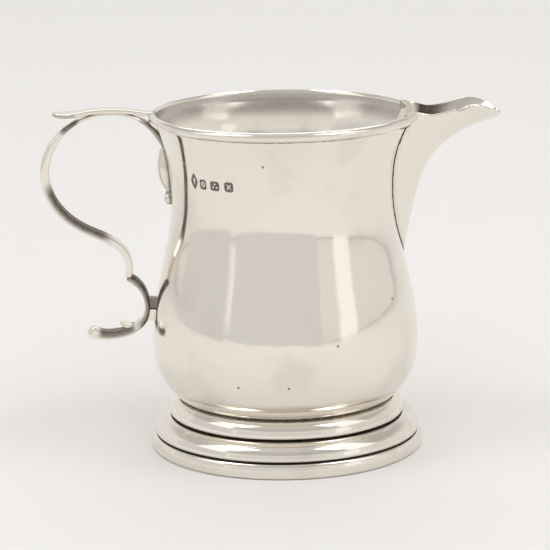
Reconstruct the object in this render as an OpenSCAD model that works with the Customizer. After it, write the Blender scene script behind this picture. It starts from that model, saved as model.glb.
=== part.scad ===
// Silver cream jug: baluster body on a stepped foot, applied spout and scroll handle.
// +Z is up, +X points along the spout, and the origin is the centre of the foot's underside.

/* [Body] */
// Height of the body's underside above the table
floor_z = 14; // [13:0.5:15]
// Outer radius of the body where it sits on the foot
seat_r = 29; // [28.5:0.1:29.3]
// Largest outer radius of the belly
belly_r = 36.1; // [35.5:0.1:36.5]
// Smallest outer radius of the neck
neck_r = 30.3; // [29.8:0.1:30.8]
// Outer radius of the lip inside the rim wire
lip_r = 34.4; // [34:0.1:34.6]
// Height of the lip's top edge
lip_z = 92.3; // [92:0.1:92.6]
// Thickness of the raised sheet
wall = 0.7; // [0.6:0.1:1]

/* [Rim wire] */
// Height of the half-round wire around the lip
rim_wire_h = 2.7; // [2.2:0.1:3]
// How far the wire stands out from the lip
rim_wire_t = 1.6; // [1.2:0.1:1.8]
// Angle on each side of the spout at which the wire leaves the circle
rim_gap_angle = 32.7; // [32:0.1:33.5]
// Length of the straight wire from there to the spout
rim_straight = 13; // [12.5:0.1:13.2]

/* [Spout] */
// Thickness of the spout's sheet
spout_wall = 0.9; // [0.8:0.1:1.1]
// Height at which the spout's lowest point meets the body
spout_foot_z = 53.5; // [52:0.5:55]

/* [Foot] */
// Largest radius of the base ring
base_r = 36.9; // [36.5:0.1:37.2]
// Height of the base ring
base_h = 4.2; // [4:0.1:4.4]
// Height of the joint between the upper and the middle ring
upper_joint_z = 9.2; // [9:0.1:9.4]
// Height of the dark recess under each moulded ring
recess_h = 0.7; // [0.5:0.1:0.8]
// Thickness of the rings' metal
foot_wall = 1.2; // [1:0.1:1.3]

/* [Handle] */
// Width of the handle strap
strap_w = 4.8; // [4.2:0.1:5.4]
// Thickness of the strap at the side of the main scroll
strap_t = 2.6; // [2.3:0.1:2.8]
// Radius of the round end of the tail
tail_end_r = 1.7; // [1.4:0.1:1.9]
// Radius of the drop on the wall under the handle
drop_r = 2.5; // [2.1:0.1:2.7]

/* [Hidden] */

silver = "silver";
round_steps = 180;
curve_steps = 4;

// Heights and radii that the body's outline passes through, from the foot to the lip.
body_knots = [
    [seat_r + 0.4, floor_z + 0.3],
    [33.2, 18.8],
    [belly_r - 0.6, 24],
    [belly_r, 31],
    [35.3, 39.5],
    [33.7, 47.5],
    [31.9, 55.5],
    [30.7, 62],
    [neck_r, 68.5],
    [30.8, 76.5],
    [32.3, 84.5],
    [lip_r, 90]
];

// Stations of the spout: keel point, edge point, half-width, fullness, all in the XZ plane.
spout_keels = [
    [29, spout_foot_z - 1.5],
    [33.6, 59.5],
    [36.3, 71],
    [40.2, 79.5],
    [44.6, 83.9],
    [49.6, 86.9],
    [53.6, 88.5],
    [56.6, 89.3],
    [58.2, 89.9]
];
spout_edges = [
    [28.9, 92.3],
    [35.8, 91.8],
    [38.8, 91.3],
    [42.6, 91.9],
    [46.4, 93.2],
    [50.6, 94.2],
    [54.2, 93.5],
    [57, 91.9],
    [58.6, 90.9]
];
spout_half_widths = [19.4, 8.4, 8, 7.8, 7.4, 6.9, 5.8, 3.8, 1.6];
spout_fullness = [1.3, 0.8, 0.62, 0.55, 0.5, 0.5, 0.5, 0.5, 0.5];
section_steps = 8;

// Half-width and height of the opening cut in the body behind the spout.
opening_side = [
    [0, spout_foot_z + 3.5],
    [4.8, 66],
    [8.2, 75],
    [9.8, 81],
    [11.8, 87],
    [14.8, 93]
];

// Centre lines of the handle's pieces in the XZ plane.
main_scroll_path = [
    [-31, 81.5],
    [-33.6, 86],
    [-37, 89.6],
    [-41.4, 91.6],
    [-46.3, 92.1],
    [-51.6, 91.3],
    [-57, 88.6],
    [-61.4, 84],
    [-63.8, 77.4],
    [-63, 70.6],
    [-59.6, 65.2],
    [-54.8, 61.4],
    [-49.6, 58.9],
    [-45.4, 56.6],
    [-42.7, 53.6],
    [-41.8, 50.4],
    [-42.1, 47.7]
];
main_scroll_w = [0.85, 0.85, 0.88, 0.9, 0.92, 0.95, 1, 1, 1, 1, 1, 1, 1, 1, 0.96, 0.94, 0.92];
main_scroll_t = [0.54, 0.5, 0.42, 0.37, 0.37, 0.38, 0.5, 0.88, 1, 0.95, 0.93, 0.88, 0.86, 0.88, 0.79, 0.77, 0.73];

thumb_rest_path = [
    [-33, 92],
    [-36.6, 92.1],
    [-41.2, 92.7],
    [-46.2, 93],
    [-51.6, 92.7],
    [-56.6, 92],
    [-60.4, 92],
    [-61.8, 92.3]
];
thumb_rest_w = [0.75, 0.85, 0.92, 0.98, 1.1, 1.3, 1.2, 0.7];
thumb_rest_t = 1.4;

lower_scroll_path = [
    [-42.6, 47.5],
    [-40.6, 46.3],
    [-38.7, 44.2],
    [-37.6, 41.6],
    [-37.2, 38.7],
    [-37.8, 36],
    [-39.4, 33.9],
    [-42, 32.2],
    [-45.2, 31.2],
    [-48.8, 30.9],
    [-52.3, 31.5]
];
lower_scroll_w = [0.92, 0.92, 0.92, 0.9, 0.9, 0.9, 0.88, 0.86, 0.82, 0.78, 0.7];
lower_scroll_t = [0.75, 0.78, 0.7, 0.64, 0.64, 0.72, 0.85, 0.95, 0.98, 1, 1.1];

spur_path = [
    [-39.6, 34],
    [-41.4, 33.6],
    [-43.3, 33.8],
    [-44.9, 34.9]
];
spur_w = [0.5, 0.75, 0.75, 0.5];
spur_t = 1.3;

lug_z = [35.2, 41.4];
lug_w = 3.6;

// Point on the curve that passes smoothly through p1 and p2, at fraction t between them.
function smooth(p0, p1, p2, p3, t) =
    0.5 * ((2 * p1) + (p2 - p0) * t
        + (2 * p0 - 5 * p1 + 4 * p2 - p3) * t * t
        + (3 * p1 - p0 - 3 * p2 + p3) * t * t * t);

// A smooth curve through every value or point in a list, with n steps between neighbours.
function curve(p, n) = let (last = len(p) - 1) [
    for (i = [0 : last - 1], k = [0 : n - 1])
        smooth(i == 0 ? 2 * p[0] - p[1] : p[i - 1], p[i], p[i + 1],
            i == last - 1 ? 2 * p[last] - p[last - 1] : p[i + 2], k / n),
    p[last]
];

// Unit normal to the left of a plane curve at its point i.
function normal(p, i) =
    let (a = p[max(i - 1, 0)], b = p[min(i + 1, len(p) - 1)], d = (b - a) / norm(b - a))
    [-d[1], d[0]];

// Points of an arc from angle a0 to a1.
function arc(c, r, a0, a1, n) = [
    for (i = [0 : n]) let (a = a0 + (a1 - a0) * i / n) c + r * [cos(a), sin(a)]
];

body_outer = curve(body_knots, curve_steps);
body_inner = [for (i = [len(body_outer) - 1 : -1 : 0]) body_outer[i] + wall * normal(body_outer, i)];

// Everything inside the body's outer surface, used to seat the pieces that are soldered to it.
module body_envelope() {
    rotate_extrude($fn = round_steps)
        polygon(concat([[0, floor_z], [seat_r, floor_z]], body_outer, [[lip_r, 100], [0, 100]]));
}

// Closed skin over a list of rings that all have the same even number of points.
// Each end is a strip of triangles between the ring's first half and its second half.
module skin(rings) {
    n = len(rings[0]);
    last = len(rings) - 1;
    end = last * n;
    polyhedron(
        points = [for (ring = rings, p = ring) p],
        faces = concat(
            [for (k = [0 : n / 2 - 2]) [k, k + 1, n - 1 - k]],
            [for (k = [0 : n / 2 - 2]) [k + 1, n - 2 - k, n - 1 - k]],
            [for (i = [0 : last - 1], k = [0 : n - 1])
                [i * n + k, (i + 1) * n + k, (i + 1) * n + (k + 1) % n]],
            [for (i = [0 : last - 1], k = [0 : n - 1])
                [i * n + k, (i + 1) * n + (k + 1) % n, i * n + (k + 1) % n]],
            [for (k = [0 : n / 2 - 2]) [end + k + 1, end + k, end + n - 1 - k]],
            [for (k = [0 : n / 2 - 2]) [end + n - 2 - k, end + k + 1, end + n - 1 - k]]
        )
    );
}

// A strap swept along a path in the XZ plane: flat inside, rounded outside.
module strap(path, widths, thicknesses) {
    line = curve(path, curve_steps);
    w = curve(widths, curve_steps);
    t = curve(thicknesses, curve_steps);
    skin([
        for (i = [0 : len(line) - 1]) let (side = normal(line, i)) [
            for (k = [0 : 11]) let (a = 30 * k + 15, depth = t[i] * (sin(a) > 0 ? 0.4 : 0.6) * sin(a))
                [line[i][0] + side[0] * depth, w[i] / 2 * cos(a) * 1.035, line[i][1] + side[1] * depth]
        ]
    ]);
}

// One bent section of the spout, from one edge down to the keel and up to the other edge.
function spout_section(keel, edge, half, power, steps) = [
    for (k = [-steps : steps]) let (t = pow(abs(k) / steps, 1 / power), at = keel + (edge - keel) * t)
        [at[0], half * k / steps, at[1]]
];

spout_keel_line = curve(spout_keels, curve_steps);
spout_edge_line = curve(spout_edges, curve_steps);
spout_half_line = curve(spout_half_widths, curve_steps);
spout_power_line = curve(spout_fullness, curve_steps);

// The spout's channel, filled to its edges, drawn in by a distance on every side.
function channel_section(i, inset) =
    let (
        keel = spout_keel_line[i],
        edge = spout_edge_line[i],
        lift = min(1.3 * inset / norm(edge - keel), 0.5),
        half = spout_half_line[i] - min(inset, 0.5 * spout_half_line[i])
    )
    spout_section(keel + (edge - keel) * lift, edge, half, spout_power_line[i], section_steps);

module vessel() {
    color(silver)
    difference() {
        rotate_extrude($fn = round_steps)
            polygon(concat(
                [[0, floor_z], [seat_r, floor_z]],
                body_outer,
                [[lip_r, lip_z - 0.2], [lip_r - 0.2, lip_z], [lip_r - wall + 0.1, lip_z]],
                body_inner,
                [[seat_r - 0.4, floor_z + wall + 0.1], [0, floor_z + wall + 0.1]]
            ));
        spout_opening();
    }
}

// The opening cut in the body behind the spout.
module spout_opening() {
    side = curve(opening_side, curve_steps);
    rotate([90, 0, 90])
        linear_extrude(height = 45)
            polygon(concat(side, [for (k = [len(side) - 1 : -1 : 1]) [-side[k][0], side[k][1]]]));
}

// Half-round section of the rim wire, standing on the lip.
module rim_section() {
    half_h = rim_wire_h / 2;
    polygon(concat(
        [[lip_r, lip_z - rim_wire_h]],
        [for (p = arc([0, 0], 1, -80, 80, 12))
            [lip_r + rim_wire_t * p[0], lip_z - half_h + half_h * p[1]]],
        [[lip_r, lip_z]]
    ));
}

// Straight end of the wire, which leaves the circle and runs up to the spout.
module rim_end() {
    joint = 0.2;
    rotate([0, 0, rim_gap_angle])
        rotate([90, 0, 0])
            translate([0, 0, -joint])
                linear_extrude(height = rim_straight + joint)
                    rim_section();
}

// The space that the straight end takes up, outside the lip's surface.
module beside_rim_end() {
    rotate([0, 0, rim_gap_angle])
        translate([lip_r, -rim_straight, lip_z - rim_wire_h])
            cube([5, rim_straight + 20, rim_wire_h + 2]);
}

module rim_wire() {
    color(silver) {
        rotate([0, 0, rim_gap_angle])
            rotate_extrude(angle = 360 - 2 * rim_gap_angle, $fn = round_steps)
                rim_section();
        rim_end();
        mirror([0, 1, 0]) rim_end();
    }
}

module spout() {
    last = len(spout_keel_line) - 1;
    color(silver)
    difference() {
        skin([
            for (i = [0 : last]) let (outside = channel_section(i, 0), inside = channel_section(i, spout_wall))
                concat(outside, [for (k = [len(inside) - 1 : -1 : 0]) inside[k]])
        ]);
        body_envelope();
        beside_rim_end();
        mirror([0, 1, 0]) beside_rim_end();
    }
}

// One moulded foot ring: quarter-round outside, hollow inside, standing on a recessed neck.
module moulded_ring(inner_r, top_r, top_z, low_r, joint_z) {
    low_z = joint_z + recess_h;
    rise = top_z - low_z;
    run = low_r - top_r;
    neck_out = low_r - 1;
    neck_in = neck_out - foot_wall;
    rotate_extrude($fn = round_steps)
        polygon(concat(
            [[neck_in, joint_z], [neck_out, joint_z], [neck_out, low_z]],
            [for (p = arc([0, 0], 1, 0, 88, 14)) [top_r + run * p[0], low_z + rise * p[1]]],
            [[inner_r, top_z], [inner_r, top_z - foot_wall]],
            [for (p = arc([0, 0], 1, 88, 0, 8))
                [top_r + (neck_in - top_r) * p[0], low_z + (rise - foot_wall) * p[1]]]
        ));
}

module foot_upper_ring() {
    color(silver) moulded_ring(27.9, seat_r - 0.3, floor_z, 31.9, upper_joint_z);
}

module foot_middle_ring() {
    color(silver) moulded_ring(29.5, 31.6, upper_joint_z, 36.1, base_h);
}

module foot_base_ring() {
    top_inner_r = 33.7;
    bulge_r = 1.9;
    color(silver)
    rotate_extrude($fn = round_steps)
        polygon(concat(
            [[top_inner_r + 0.5, 0], [base_r - 0.9, 0], [base_r - 0.4, 0.3]],
            arc([base_r - bulge_r, 2.3], bulge_r, -35, 70, 12),
            [[35.9, base_h], [top_inner_r, base_h], [top_inner_r, base_h - 1], [top_inner_r + 0.5, base_h - 1.6]]
        ));
}

module main_scroll() {
    color(silver)
    difference() {
        strap(main_scroll_path, main_scroll_w * strap_w, main_scroll_t * strap_t);
        body_envelope();
        rim_wire();
    }
}

module thumb_rest() {
    color(silver)
    difference() {
        strap(thumb_rest_path, thumb_rest_w * strap_w, [for (p = thumb_rest_path) thumb_rest_t]);
        body_envelope();
        rim_wire();
        strap(main_scroll_path, main_scroll_w * strap_w, main_scroll_t * strap_t);
    }
}

// A long drop and a small bead under it, standing half out of the wall.
module wall_drop() {
    color(silver)
    difference() {
        translate([-30.6, 0, 67])
            rotate([0, -5, 0])
                rotate_extrude($fn = 48)
                    polygon(concat(
                        [[0, 0]],
                        arc([0, 2.2], 1.5, -60, 20, 6),
                        [[1, 4.4]],
                        [for (k = [0 : 12]) let (t = k / 12)
                            [drop_r * pow(sin(180 * pow(0.12 + 0.8 * t, 0.8)), 0.8), 5 + 11.5 * t]],
                        [[0, 17]]
                    ));
        body_envelope();
        strap(main_scroll_path, main_scroll_w * strap_w, main_scroll_t * strap_t);
    }
}

module lower_scroll() {
    end = lower_scroll_path[len(lower_scroll_path) - 1];
    color(silver)
    difference() {
        union() {
            strap(lower_scroll_path, lower_scroll_w * strap_w, lower_scroll_t * strap_t);
            translate([end[0], 0, end[1]]) sphere(r = tail_end_r, $fn = 32);
        }
        strap(main_scroll_path, main_scroll_w * strap_w, main_scroll_t * strap_t);
    }
}

module scroll_spur() {
    color(silver)
    difference() {
        strap(spur_path, spur_w * strap_w, [for (p = spur_path) spur_t]);
        strap(lower_scroll_path, lower_scroll_w * strap_w, lower_scroll_t * strap_t);
    }
}

// Short lug that joins the lower scroll to the belly.
module wall_lug() {
    color(silver)
    difference() {
        translate([-37.4, -lug_w / 2, lug_z[0]])
            cube([3, lug_w, lug_z[1] - lug_z[0]]);
        body_envelope();
        strap(lower_scroll_path, lower_scroll_w * strap_w, lower_scroll_t * strap_t);
        translate([-60, -10, lug_z[0] - 10]) cube([60 - 38.2, 20, 30]);
    }
}

vessel();
rim_wire();
spout();
foot_upper_ring();
foot_middle_ring();
foot_base_ring();
main_scroll();
thumb_rest();
wall_drop();
lower_scroll();
scroll_spur();
wall_lug();
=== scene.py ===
"""Silver cream jug: a polished body on a stepped foot, with a spout and a scroll handle."""

import logging
import math
from dataclasses import dataclass, field
from enum import Enum

import bmesh
import bpy
import numpy as np
from mathutils import Matrix, Vector

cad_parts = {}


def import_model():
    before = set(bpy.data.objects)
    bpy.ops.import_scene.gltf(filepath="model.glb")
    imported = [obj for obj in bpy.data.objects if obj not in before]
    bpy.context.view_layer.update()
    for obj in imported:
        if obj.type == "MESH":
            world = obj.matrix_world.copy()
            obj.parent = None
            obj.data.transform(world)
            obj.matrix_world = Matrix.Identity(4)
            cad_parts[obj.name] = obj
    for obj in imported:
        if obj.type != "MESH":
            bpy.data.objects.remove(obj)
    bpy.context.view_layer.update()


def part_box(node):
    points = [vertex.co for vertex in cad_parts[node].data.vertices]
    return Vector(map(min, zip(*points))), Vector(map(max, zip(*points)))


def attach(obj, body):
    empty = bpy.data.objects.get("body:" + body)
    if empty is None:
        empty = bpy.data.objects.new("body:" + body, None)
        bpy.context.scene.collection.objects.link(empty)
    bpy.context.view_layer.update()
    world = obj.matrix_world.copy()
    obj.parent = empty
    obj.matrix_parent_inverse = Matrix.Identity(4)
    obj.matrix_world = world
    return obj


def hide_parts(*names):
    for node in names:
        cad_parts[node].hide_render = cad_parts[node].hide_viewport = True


LOG = logging.getLogger("cream_jug")
MM = 0.001
Grid = np.ndarray
Pair = tuple[float, float]
Point = tuple[float, float, float]
Box = tuple[Vector, Vector]
Socket = bpy.types.NodeSocket


# ---------------------------------------------------------------- curves and meshes


class SmoothCurve:
    """A natural cubic spline through a list of points, of any dimension, by chord length."""

    def __init__(self, knots: list[tuple[float, ...]]) -> None:
        """Solves the spline.

        Args:
            knots: The points that the curve passes through.
        """
        self.points = np.array(knots, dtype=float)
        if self.points.ndim == 1:
            self.points = self.points[:, None]
            steps = np.ones(len(self.points) - 1)
        else:
            steps = np.linalg.norm(np.diff(self.points, axis=0), axis=1)
        self.at = np.concatenate([[0.0], np.cumsum(steps)])
        self.bend = self._second_derivatives(steps)

    def _second_derivatives(self, steps: Grid) -> Grid:
        """Second derivatives at the knots, zero at both ends.

        Args:
            steps: The parameter's step between neighbouring knots.

        Returns:
            One row of derivatives for each knot.
        """
        count = len(self.points)
        matrix = np.eye(count)
        right = np.zeros_like(self.points)
        slopes = np.diff(self.points, axis=0) / steps[:, None]
        for i in range(1, count - 1):
            matrix[i, i - 1] = steps[i - 1]
            matrix[i, i] = 2 * (steps[i - 1] + steps[i])
            matrix[i, i + 1] = steps[i]
            right[i] = 6 * (slopes[i] - slopes[i - 1])
        return np.linalg.solve(matrix, right)

    def __call__(self, fractions: Grid) -> Grid:
        """Points on the curve.

        Args:
            fractions: Places along the curve, from 0 to 1.

        Returns:
            One point for each place.
        """
        where = np.clip(np.asarray(fractions, dtype=float), 0, 1) * self.at[-1]
        low = np.clip(np.searchsorted(self.at, where, side="right") - 1, 0, len(self.at) - 2)
        step = (self.at[low + 1] - self.at[low])[:, None]
        b = (where - self.at[low])[:, None] / step
        a = 1 - b
        cubic = ((a**3 - a) * self.bend[low] + (b**3 - b) * self.bend[low + 1]) * step**2 / 6
        return a * self.points[low] + b * self.points[low + 1] + cubic


def profile_normals(line: Grid) -> Grid:
    """Unit normals to the left of a plane line of points.

    Args:
        line: The line's points, two numbers each.

    Returns:
        One normal for each point.
    """
    ahead = np.gradient(line, axis=0)
    ahead /= np.linalg.norm(ahead, axis=1)[:, None]
    return np.stack([-ahead[:, 1], ahead[:, 0]], axis=1)


def arc(centre: Pair, radius: float, start: float, end: float, count: int) -> Grid:
    """Points of a plane arc.

    Args:
        centre: The arc's centre.
        radius: The arc's radius.
        start: The first point's angle, in degrees.
        end: The last point's angle, in degrees.
        count: How many points it has.

    Returns:
        The points, two numbers each.
    """
    turn = np.radians(np.linspace(start, end, count))
    return np.stack([centre[0] + radius * np.cos(turn), centre[1] + radius * np.sin(turn)], axis=1)


def smooth_step(low: float, high: float, value: Grid) -> Grid:
    """0 below low, 1 above high, and a smooth ramp between them."""
    t = np.clip((value - low) / (high - low), 0, 1)
    return t * t * (3 - 2 * t)


@dataclass
class Skin:
    """Collects points and faces, and makes one mesh object of them."""

    name: str
    points: list[Grid] = field(default_factory=list)
    faces: list[tuple[int, ...]] = field(default_factory=list)
    tarnish_and_shade: list[Grid] = field(default_factory=list)
    count: int = 0

    def grid(
        self, rows: Grid, dark: Grid | float = 0.0, wrap_rows: bool = False, wrap_ring: bool = True
    ) -> int:
        """Adds a grid of faces over rows of points.

        Args:
            rows: Points, as rows by columns by three.
            dark: Tarnish and painted shade of each point, from 0 to 1, or one number for all.
            wrap_rows: Whether the last row joins the first one.
            wrap_ring: Whether each row is a closed ring.

        Returns:
            The number of the grid's first point.
        """
        high, wide = rows.shape[:2]
        first = self.count
        self.points.append(rows.reshape(-1, 3))
        self.tarnish_and_shade.append(np.broadcast_to(np.asarray(dark, dtype=float), (high, wide)).reshape(-1))
        self.count += high * wide
        for i in range(high if wrap_rows else high - 1):
            for k in range(wide if wrap_ring else wide - 1):
                near, far = first + i % high * wide, first + (i + 1) % high * wide
                left, right = k % wide, (k + 1) % wide
                self.faces.append((near + left, near + right, far + right, far + left))
        return first

    def face(self, corners: list[int]) -> None:
        """Adds one face by its points' numbers."""
        self.faces.append(tuple(corners))

    def build(self, weld: float = 1e-6) -> bpy.types.Object:
        """Makes the mesh object, with doubles merged and faces outward.

        Args:
            weld: Points closer than this become one.

        Returns:
            The object, at the origin.
        """
        mesh = bpy.data.meshes.new(self.name)
        mesh.from_pydata(np.concatenate(self.points).tolist(), [], self.faces)
        # The mark of tarnish and painted shade, which the material reads.
        shade = mesh.attributes.new("tarnish_and_shade", "FLOAT", "POINT")
        shade.data.foreach_set("value", np.concatenate(self.tarnish_and_shade).astype(np.float32))
        work = bmesh.new()
        work.from_mesh(mesh)
        bmesh.ops.remove_doubles(work, verts=work.verts, dist=weld)
        bmesh.ops.dissolve_degenerate(work, dist=1e-8, edges=work.edges)
        bmesh.ops.recalc_face_normals(work, faces=work.faces)
        work.to_mesh(mesh)
        work.free()
        mesh.polygons.foreach_set("use_smooth", [True] * len(mesh.polygons))
        mesh.update()
        item = bpy.data.objects.new(self.name, mesh)
        bpy.context.scene.collection.objects.link(item)
        return item


def soften(item: bpy.types.Object, width: float, angle: float = 35, segments: int = 3) -> None:
    """Rounds an object's sharp edges and evens the shading of its faces.

    Args:
        item: The object.
        width: How far back the rounding starts, in metres.
        angle: Edges sharper than this, in degrees, are rounded.
        segments: Faces across each rounded edge.
    """
    bevel = item.modifiers.new("edge_rounding", "BEVEL")
    bevel.width = width
    bevel.segments = segments
    bevel.limit_method = "ANGLE"
    bevel.angle_limit = math.radians(angle)
    bevel.harden_normals = False
    bevel.use_clamp_overlap = True
    even = item.modifiers.new("even_shading", "WEIGHTED_NORMAL")
    even.keep_sharp = False


def revolve(line: Grid, steps: int, dark: Grid | float = 0.0) -> tuple[Grid, Grid]:
    """Turns a plane line of radius and height about the jug's axis.

    Args:
        line: Points of radius and height, in metres.
        steps: Columns around the axis.
        dark: Tarnish and painted shade along the line.

    Returns:
        The points as columns by line points, and their tarnish and painted shade.
    """
    turn = np.linspace(0, 2 * math.pi, steps, endpoint=False)
    radius, height = line[:, 0], line[:, 1]
    rows = np.stack(
        [
            np.outer(np.cos(turn), radius),
            np.outer(np.sin(turn), radius),
            np.broadcast_to(height, (steps, len(line))),
        ],
        axis=2,
    )
    return rows, np.broadcast_to(np.asarray(dark, dtype=float), (steps, len(line)))


# ---------------------------------------------------------------- finishes


class Slot(Enum):
    """The record's material slots."""

    SHEET = "silver"
    FOOT = "silver_foot"
    CAST = "silver_cast"


class Wiring:
    """Adds nodes to a tree, with their inputs linked or set."""

    def __init__(self, tree: bpy.types.NodeTree) -> None:
        """Keeps the tree's nodes and links."""
        self.nodes, self.links = tree.nodes, tree.links

    def feed(self, node: bpy.types.Node, inputs: dict[str | int, object]) -> None:
        """Links or sets a node's inputs.

        Args:
            node: The node.
            inputs: Sockets or values, by the input's name or number.
        """
        for key, value in inputs.items():
            if isinstance(value, Socket):
                self.links.new(value, node.inputs[key])
            else:
                node.inputs[key].default_value = value

    def add(
        self, kind: str, inputs: dict[str | int, object] | None = None, **settings: str
    ) -> bpy.types.Node:
        """Adds a node.

        Args:
            kind: The node's type.
            inputs: Sockets or values for its inputs, by name or number.
            settings: The node's own settings.

        Returns:
            The node.
        """
        node = self.nodes.new(kind)
        for name, value in settings.items():
            setattr(node, name, value)
        self.feed(node, inputs or {})
        return node

    def noise(self, place: Socket, scale: float, detail: float) -> Socket:
        """A noise texture's value.

        Args:
            place: The coordinates to read.
            scale: Features for each metre.
            detail: Octaves.

        Returns:
            The value.
        """
        inputs = {"Vector": place, "Scale": scale, "Detail": detail}
        return self.add("ShaderNodeTexNoise", inputs).outputs["Fac"]

    def maths(self, kind: str, *values: Socket | float) -> Socket:
        """A maths node over sockets or numbers."""
        return self.add("ShaderNodeMath", dict(enumerate(values)), operation=kind).outputs["Value"]

    def blend(self, factor: Socket, first: Socket | tuple, second: Socket | tuple) -> Socket:
        """A blend of two colours by a factor."""
        inputs = {"Factor": factor, "A": first, "B": second}
        return self.add("ShaderNodeMix", inputs, data_type="RGBA").outputs["Result"]

    def ramp(self, value: Socket, source: Pair, target: Pair, kind: str = "LINEAR") -> Socket:
        """Maps one range of values to another.

        Args:
            value: The value.
            source: Its range.
            target: The new range.
            kind: How it goes from one end to the other.

        Returns:
            The new value.
        """
        inputs = {
            "Value": value, "From Min": source[0], "From Max": source[1],
            "To Min": target[0], "To Max": target[1],
        }
        return self.add("ShaderNodeMapRange", inputs, interpolation_type=kind).outputs["Result"]

    def bump(self, height: Socket, depth: float, under: Socket | None = None) -> Socket:
        """Tilts the surface by a height.

        Args:
            height: The height.
            depth: The height in metres of a step from 0 to 1.
            under: The normal that it adds to, if any.

        Returns:
            The new normal.
        """
        step = self.add("ShaderNodeBump", {"Strength": 1.0, "Distance": depth, "Height": height})
        if under is not None:
            self.feed(step, {"Normal": under})
        return step.outputs["Normal"]


@dataclass(frozen=True)
class SilverFinish:
    """Polished sterling silver, with soft wear, small pits, and one dark colour for tarnish and for the
    painted shade in its hollows.
    """

    name: str
    pale: Point = (0.875, 0.84, 0.785)
    warm: Point = (0.83, 0.78, 0.70)
    # Dark colour for tarnish, and for painted shade where the mesh marks it.
    tarnish_and_shade: Point = (0.10, 0.078, 0.062)
    roughness: Pair = (0.035, 0.11)
    tarnish_roughness: float = 0.42
    tarnish_grain: float = 900.0
    tone_scale: float = 26.0
    wear_scale: float = 468.0
    wave_scale: float = 38.0
    wave_detail: float = 1.6
    wave_depth: float = 0.45 * MM
    smudge_scale: float = 55.0
    smudge: float = 0.13
    scratch_depth: float = 0.0009 * MM
    # Turn and stretch of the two sets of polishing lines.
    scratch_sets: tuple[tuple[float, Point], ...] = ((0.35, (250, 250, 5200)), (-0.6, (420, 4600, 420)))
    pit_scale: float = 150.0
    # Where a pit starts and stops fading, as a share of its cell.
    pit_edge: Pair = (0.035, 0.075)
    pit_dark: float = 0.75
    pit_share: float = 0.3

    def material(self) -> bpy.types.Material:
        """Builds the node material.

        Returns:
            The material.
        """
        made = bpy.data.materials.new(self.name)
        made.use_nodes = True
        wiring = Wiring(made.node_tree)
        place = wiring.add("ShaderNodeTexCoord").outputs["Object"]
        silver = wiring.blend(wiring.noise(place, self.tone_scale, 4), (*self.pale, 1), (*self.warm, 1))
        # Tarnish, pits, smudges and painted shade in one mask.
        marked = wiring.maths("MAXIMUM", self._tarnish_and_shade_mask(wiring, place), self._pit_mask(wiring, place))
        dirt_and_shade = wiring.maths("MAXIMUM", marked, self._smudges(wiring, place))
        wear_and_lip_reflection = wiring.ramp(wiring.noise(place, self.wear_scale, 5), (0.3, 0.7), self.roughness)
        rough = wiring.add("ShaderNodeMix", {"Factor": dirt_and_shade, "A": wear_and_lip_reflection, "B": self.tarnish_roughness})
        wave = wiring.bump(wiring.noise(place, self.wave_scale, self.wave_detail), self.wave_depth)
        wiring.feed(wiring.nodes["Principled BSDF"], {
            "Metallic": 1.0,
            "Base Color": wiring.blend(dirt_and_shade, silver, (*self.tarnish_and_shade, 1)),
            "Roughness": rough.outputs["Result"],
            "Normal": wiring.bump(self._scratches(wiring, place), self.scratch_depth, wave),
        })
        return made

    def _tarnish_and_shade_mask(self, wiring: Wiring, place: Socket) -> Socket:
        """Where the mesh marks tarnish and painted shade, broken up a little.

        Args:
            wiring: The material's nodes.
            place: The coordinates to read.

        Returns:
            The mask, from 0 to 1.
        """
        mark = wiring.add("ShaderNodeAttribute", attribute_name="tarnish_and_shade")
        uneven = wiring.maths("MULTIPLY_ADD", wiring.noise(place, self.tarnish_grain, 3), 0.35, 0.8)
        amount = wiring.maths("MULTIPLY", mark.outputs["Fac"], uneven)
        amount.node.use_clamp = True
        return amount

    def _smudges(self, wiring: Wiring, place: Socket) -> Socket:
        """Faint patches of dull tarnish.

        Args:
            wiring: The material's nodes.
            place: The coordinates to read.

        Returns:
            The mask.
        """
        patches = wiring.noise(place, self.smudge_scale, 5)
        return wiring.ramp(patches, (0.52, 0.72), (0.0, self.smudge), "SMOOTHSTEP")

    def _pit_mask(self, wiring: Wiring, place: Socket) -> Socket:
        """Sparse dark pits.

        Args:
            wiring: The material's nodes.
            place: The coordinates to read.

        Returns:
            The mask, from 0 to 1.
        """
        cells = wiring.add("ShaderNodeTexVoronoi", {"Vector": place, "Scale": self.pit_scale})
        near = wiring.ramp(cells.outputs["Distance"], self.pit_edge, (self.pit_dark, 0.0), "SMOOTHSTEP")
        parts = wiring.add("ShaderNodeSeparateColor", {"Color": cells.outputs["Color"]})
        chosen = wiring.maths("LESS_THAN", parts.outputs["Red"], self.pit_share)
        return wiring.maths("MULTIPLY", near, chosen)

    def _scratches(self, wiring: Wiring, place: Socket) -> Socket:
        """Fine polishing lines in two directions.

        Args:
            wiring: The material's nodes.
            place: The coordinates to read.

        Returns:
            The height.
        """
        lines = []
        for turn, stretch in self.scratch_sets:
            inputs = {"Vector": place, "Rotation": (turn, turn / 2, 0), "Scale": stretch}
            lines.append(wiring.noise(wiring.add("ShaderNodeMapping", inputs).outputs["Vector"], 1.0, 2))
        return wiring.maths("ADD", *lines)


def dress(item: bpy.types.Object, material: bpy.types.Material, slot: Slot, *nodes: str) -> None:
    """Gives a piece its material, its body and its place in the frame.

    Args:
        item: The piece.
        material: Its material.
        slot: The record's slot for that material. Not used.
        nodes: The frame's nodes that it stands for, if any.
    """
    item.data.materials.clear()
    item.data.materials.append(material)
    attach(item, "root")
    if nodes:
        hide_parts(*nodes)
    LOG.info("%s: %d faces", item.name, len(item.data.polygons))


# ---------------------------------------------------------------- body, rim and spout


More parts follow.
